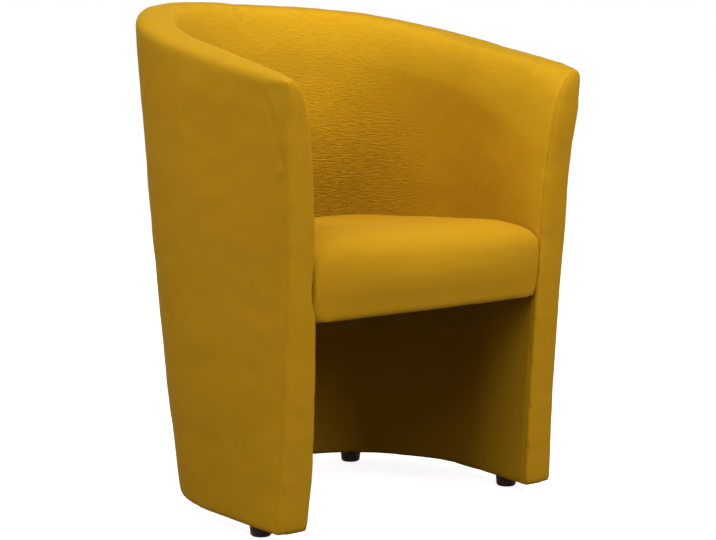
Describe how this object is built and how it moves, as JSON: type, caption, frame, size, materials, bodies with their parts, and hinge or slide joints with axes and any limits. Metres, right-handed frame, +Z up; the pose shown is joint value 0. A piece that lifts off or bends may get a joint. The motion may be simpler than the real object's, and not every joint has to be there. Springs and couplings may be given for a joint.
{
  "type": "tub armchair",
  "caption": "Compact tub armchair: one curved, padded wall makes the back and both arms, with a sprung, crowned seat between them, open space below and short round feet.",
  "frame": {"origin": "on the floor, under the middle of the chair's overall box", "axes": "+Z up; the open front of the chair faces -Y; +X is to the right as seen from the front"},
  "size_m": [0.6088, 0.5707, 0.77],
  "materials": {
    "upholstery_fabric": "woven, matt",
    "lining_cloth": "thin, matt",
    "padding": "soft foam and fibre",
    "hardboard": "smooth, unpainted",
    "frame_wood": "sawn, unpainted",
    "steel": "plain",
    "foot_plastic": "dark brown, satin"
  },
  "bodies": {
    "root": {"outer_cover": "upholstery_fabric", "inner_cover": "upholstery_fabric", "lower_lining": "upholstery_fabric", "seat_cover": "upholstery_fabric", "arm_facing_left": "upholstery_fabric", "arm_facing_right": "upholstery_fabric", "base_cloth": "lining_cloth", "seat_bottom_cloth": "lining_cloth", "outer_wadding_left": "padding", "outer_wadding_back": "padding", "outer_wadding_right": "padding", "arm_foam_left": "padding", "arm_foam_right": "padding", "back_foam": "padding", "seat_foam": "padding", "spring_felt": "padding", "outer_board": "hardboard", "inner_board": "hardboard", "lower_board_left": "hardboard", "lower_board_back": "hardboard", "lower_board_right": "hardboard", "base_former": "frame_wood", "seat_former": "frame_wood", "top_former": "frame_wood", "lower_post_front_left": "frame_wood", "lower_post_front_right": "frame_wood", "lower_post_side_left": "frame_wood", "lower_post_side_right": "frame_wood", "lower_post_back_left": "frame_wood", "lower_post_back_right": "frame_wood", "upper_post_front_left": "frame_wood", "upper_post_front_right": "frame_wood", "upper_post_side_left": "frame_wood", "upper_post_side_right": "frame_wood", "upper_post_back_left": "frame_wood", "upper_post_back_right": "frame_wood", "seat_front_rail": "frame_wood", "seat_rear_rail": "frame_wood", "seat_side_rail_left": "frame_wood", "seat_side_rail_right": "frame_wood", "seat_corner_blocks": "frame_wood", "zigzag_springs": "steel", "spring_clips": "steel", "frame_screws": "steel", "seat_screws": "steel", "foot_screws": "steel", "foot_front_left": "foot_plastic", "foot_front_right": "foot_plastic", "foot_rear_left": "foot_plastic", "foot_rear_right": "foot_plastic"}
  },
  "joints": []
}
